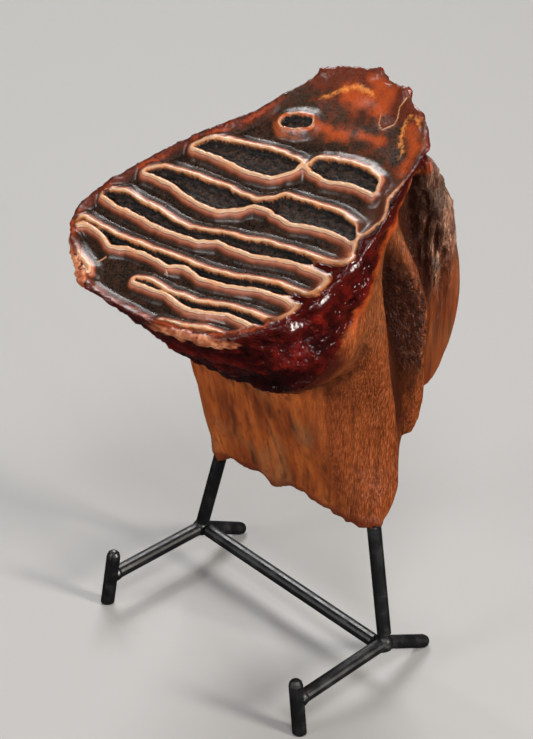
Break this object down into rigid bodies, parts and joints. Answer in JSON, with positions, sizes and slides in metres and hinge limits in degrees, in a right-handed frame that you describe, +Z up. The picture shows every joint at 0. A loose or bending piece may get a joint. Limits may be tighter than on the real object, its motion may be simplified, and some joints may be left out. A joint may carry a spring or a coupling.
{
  "type": "fossil tooth on stand",
  "caption": "Fossil mammoth molar with ridged chewing surface and broken roots, standing on a low black welded rod stand.",
  "frame": {"origin": "on the floor under the middle of the whole object's bounding box", "axes": "+Z up, the stand's front posts towards -Y, the crossbar along X, the chewing surface facing up and to -Y"},
  "size_m": [0.1141, 0.1075, 0.2093],
  "materials": {
    "fossil_tooth": "mineralised tooth: dark glossy crown with cream enamel ridges, orange-brown striated roots",
    "black_paint": "satin black paint on steel rod"
  },
  "bodies": {
    "root": {"tooth": "fossil_tooth", "left_post": "black_paint", "right_post": "black_paint", "left_rail": "black_paint", "right_rail": "black_paint", "left_upright": "black_paint", "right_upright": "black_paint", "crossbar": "black_paint"}
  },
  "joints": []
}
